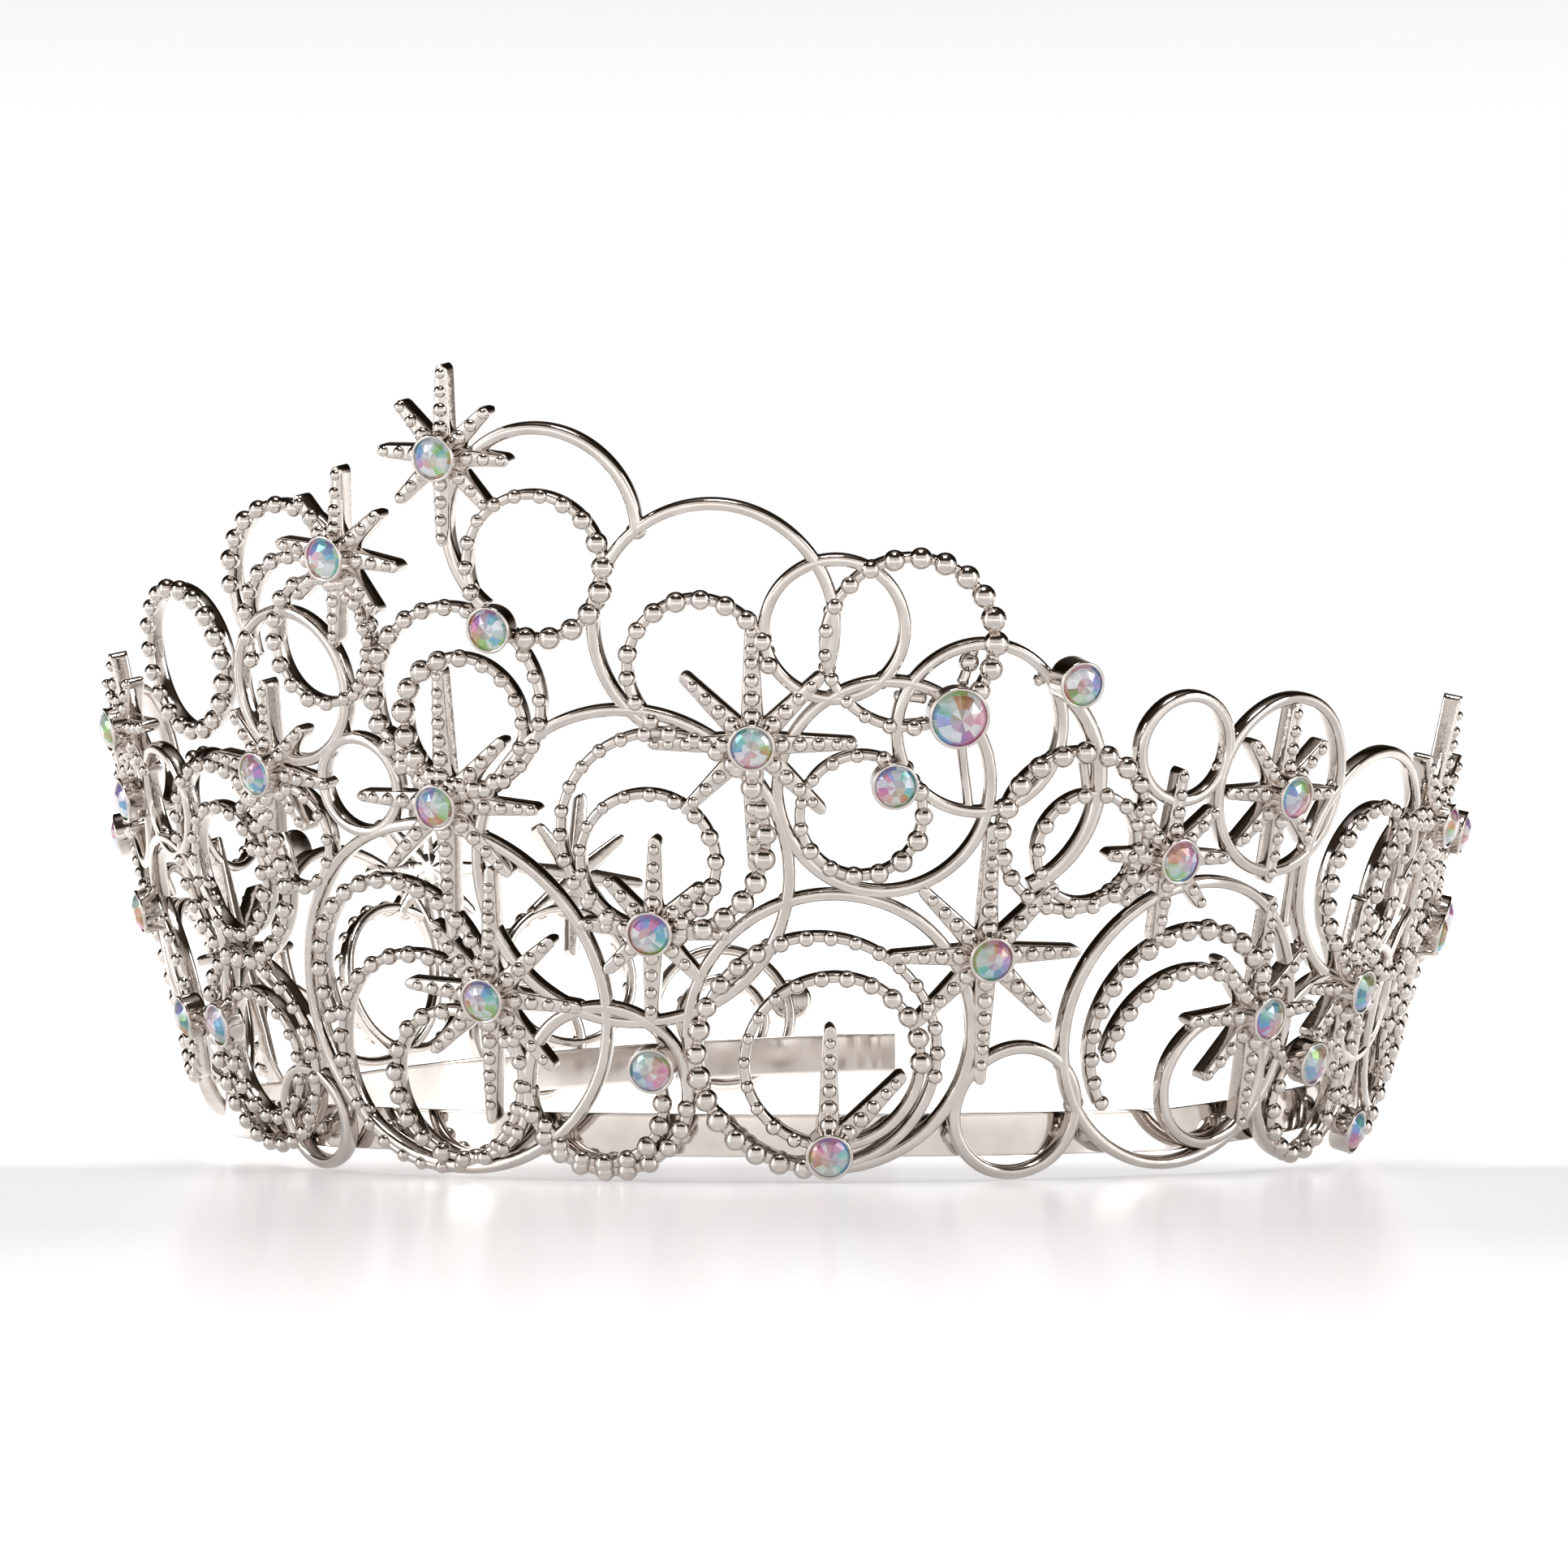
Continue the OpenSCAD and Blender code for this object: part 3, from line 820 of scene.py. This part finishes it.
def build_bars():
    """Short round bars between rings and cups, and the bead on one of them."""
    shape = Shape()
    corners = 16
    for points in solids("tie_bars"):
        middle = points.mean(axis=0)
        _, _, axes = np.linalg.svd(points - middle, full_matrices=False)
        along = (points - middle) @ axes[0]
        near = middle + axes[0] * along.min()
        far = middle + axes[0] * along.max()
        ahead = Vector(far - near)
        spin = Vector((0, 0, 1)).rotation_difference(ahead).to_matrix()
        away = np.linalg.norm(points - middle - np.outer(along, axes[0]), axis=1)
        radius = float(np.quantile(away, 0.3))
        reach = ahead.length
        profile = [(radius * 0.7, -0.3), (radius * 1.15, 0.0), (radius * 0.95, 0.5),
                   (radius * 0.9, reach / 2), (radius * 0.95, reach - 0.5),
                   (radius * 1.15, reach), (radius * 0.7, reach + 0.3)]
        ring = [(r * math.cos(TAU * j / corners), r * math.sin(TAU * j / corners), w)
                for r, w in profile for j in range(corners)]
        placed = [near + np.array(spin @ Vector(p)) for p in ring]
        faces = grid_faces(len(profile), corners)
        faces.append(tuple(reversed(range(corners))))
        faces.append(tuple(len(ring) - corners + j for j in range(corners)))
        shape.add(np.array(placed), faces)
        has_bead = away.max() > 1.0
        if has_bead:
            bulk = points[away > 0.9]
            centre = (bulk.min(axis=0) + bulk.max(axis=0)) / 2
            blob, blob_faces = ball(1.2)
            shape.add(blob + centre, blob_faces)
    shape.build("tie_bar_set", wire_metal, ["tie_bars"])


def ring_path(ring):
    """Points along the middle of a ring's wire."""
    count = 240
    turns = ring.start + np.arange(count) * ring.sweep / count
    flat = np.column_stack([
        ring.radius * np.cos(turns), ring.radius * np.sin(turns), np.zeros(count)])
    return wrap(ring.psi, ring.z, flat)


def build_joints():
    """Small smooth swellings of solder where rings cross or touch."""
    touching, apart = 0.35, 1.6
    paths = [(ring, ring_path(ring)) for ring in all_rings]
    spots = []
    for i, (first, a) in enumerate(paths):
        for second, b in paths[i + 1:]:
            if np.linalg.norm(first.centre - second.centre) > first.radius + second.radius + 1:
                continue
            away = np.linalg.norm(a[:, None] - b[None], axis=2)
            for k in np.argwhere(away.min(axis=1) < touching)[:, 0]:
                place = (a[k] + b[away[k].argmin()]) / 2
                if all(np.linalg.norm(place - other) > apart for other in spots):
                    spots.append(place)
    shape = Shape()
    for n, place in enumerate(spots):
        psi, z, w = unwrap(place)
        rng = random.Random(3000 + n)
        blob, faces = ball(rng.uniform(0.95, 1.15), 0.95, 16, 10)
        blob = blob * (1.0, rng.uniform(0.9, 1.25), 1.0)
        shape.add(wrap_rigid(psi, z, blob + (0, 0, w - 0.05), rng.uniform(0, TAU)), faces)
    shape.build("ring_joints", wire_metal)


# ---------------------------------------------------------------- studio

def build_floor():
    """A white table that glows with painted light except near and before the crown, where its glow
    is dimmed into a painted shadow fading toward the camera, and real shadows show.
    """
    bpy.ops.mesh.primitive_plane_add(size=12.0, location=(0, 0, 0))
    floor = bpy.context.object
    floor.name = "floor"
    material, nodes, links, shader = new_material("pale_floor")
    shader.inputs["Base Color"].default_value = (0.9, 0.9, 0.905, 1)
    shader.inputs["Roughness"].default_value = 0.22
    shader.inputs["Specular IOR Level"].default_value = 0.3
    place = nodes.new("ShaderNodeTexCoord")
    before = nodes.new("ShaderNodeVectorMath")
    before.operation = "DOT_PRODUCT"
    before.inputs[1].default_value = TOWARD_CAMERA
    links.new(place.outputs["Object"], before.inputs[0])
    reach = nodes.new("ShaderNodeMapRange")
    reach.inputs["From Min"].default_value = -0.5
    reach.inputs["From Max"].default_value = 0.5
    links.new(before.outputs["Value"], reach.inputs["Value"])
    # Emission as painted light: full glow behind and far away, dimmed in front of the crown and
    # brightening with distance, a painted shadow that fades toward the camera.
    painted_floor_light = ramp(nodes, [
        (0.46, (1.0, 1.0, 1.0)), (0.54, (0.24, 0.24, 0.245)), (0.66, (0.26, 0.26, 0.265)),
        (0.82, (0.5, 0.5, 0.5)), (0.97, (1.0, 1.0, 1.0))])
    links.new(reach.outputs["Result"], painted_floor_light.inputs["Fac"])
    links.new(painted_floor_light.outputs["Color"], shader.inputs["Emission Color"])
    shader.inputs["Emission Strength"].default_value = 1.0
    floor.data.materials.append(material)


def build_world():
    """A white room with a dark band above eye level and a softly lit ceiling."""
    world = bpy.data.worlds.new("studio")
    bpy.context.scene.world = world
    world.use_nodes = True
    nodes, links = world.node_tree.nodes, world.node_tree.links
    background = nodes["Background"]
    place = nodes.new("ShaderNodeTexCoord")
    split = nodes.new("ShaderNodeSeparateXYZ")
    links.new(place.outputs["Generated"], split.inputs["Vector"])
    height = nodes.new("ShaderNodeMapRange")
    height.inputs["From Min"].default_value = -1.0
    lean = nodes.new("ShaderNodeMath")
    lean.operation = "MULTIPLY_ADD"
    lean.inputs[1].default_value = -0.2
    links.new(split.outputs["Z"], lean.inputs[2])
    links.new(lean.outputs["Value"], height.inputs["Value"])
    rise = ramp(nodes, [
        (0.0, (0.95, 0.93, 0.91)), (0.5, (1.05, 1.05, 1.05)), (0.63, (1.0, 1.0, 1.0)),
        (0.69, (0.2, 0.17, 0.15)), (0.74, (0.04, 0.03, 0.022)), (0.96, (0.05, 0.04, 0.03)),
        (1.0, (0.5, 0.47, 0.45))])
    links.new(height.outputs["Result"], rise.inputs["Fac"])
    toward = nodes.new("ShaderNodeVectorMath")
    toward.operation = "DOT_PRODUCT"
    toward.inputs[1].default_value = TOWARD_CAMERA
    links.new(place.outputs["Generated"], toward.inputs[0])
    links.new(toward.outputs["Value"], lean.inputs[0])
    spread = nodes.new("ShaderNodeMapRange")
    spread.inputs["From Min"].default_value = -1.0
    links.new(toward.outputs["Value"], spread.inputs["Value"])
    side = ramp(nodes, [
        (0.0, (1.0, 1.0, 1.0)), (0.04, (1.0, 1.0, 1.0)), (0.10, (0.22, 0.19, 0.17)),
        (0.30, (0.25, 0.22, 0.20)), (0.42, (0.85, 0.82, 0.8)), (0.8, (1.0, 0.98, 0.96)),
        (1.0, (0.8, 0.77, 0.74))])
    links.new(spread.outputs["Result"], side.inputs["Fac"])
    room = blend(nodes, links, 1.0, rise.outputs["Color"], side.outputs["Color"], "MULTIPLY")
    links.new(room, background.inputs["Color"])
    background.inputs["Strength"].default_value = 1.0


def soft_light(name, azimuth, elevation, distance, size, power):
    """An area lamp aimed at the crown; angles in degrees, lengths in metres, power in watts."""
    light = bpy.data.lights.new(name, "AREA")
    light.shape = "RECTANGLE"
    light.size, light.size_y = size
    light.energy = power
    lamp = bpy.data.objects.new(name, light)
    a, e = math.radians(azimuth), math.radians(elevation)
    lamp.location = Vector((
        math.sin(a) * math.cos(e), -math.cos(a) * math.cos(e), math.sin(e))) * distance
    aim = Vector((0, 0, 0.04)) - lamp.location
    lamp.rotation_euler = aim.to_track_quat("-Z", "Y").to_euler()
    bpy.context.scene.collection.objects.link(lamp)


def build_camera():
    data = bpy.data.cameras.new("camera")
    data.lens = CAMERA_LENS
    data.sensor_width = 36.0
    data.shift_x = CAMERA_SHIFT_X
    data.shift_y = CAMERA_SHIFT_Y
    camera = bpy.data.objects.new("camera", data)
    a = math.radians(CAMERA_AZIMUTH)
    camera.location = (
        CAMERA_DISTANCE * MM * math.sin(a), -CAMERA_DISTANCE * MM * math.cos(a), CAMERA_HEIGHT * MM)
    camera.rotation_euler = (math.pi / 2, 0, a)
    bpy.context.scene.collection.objects.link(camera)
    bpy.context.scene.camera = camera


build_plain_rings()
build_wire_sweep()
build_beaded_rings()
build_stars()
build_cups()
build_stones()
build_solder()
build_bars()
build_joints()
build_band()
build_floor()
build_world()
soft_light("overhead_box", 40, 75, 1.6, (0.5, 0.5), 9)
soft_light("left_box", -30, 20, 1.8, (0.6, 1.0), 8)
soft_light("right_box", 110, 20, 1.8, (0.6, 1.0), 6)
build_camera()
bpy.context.scene.view_settings.view_transform = "Standard"
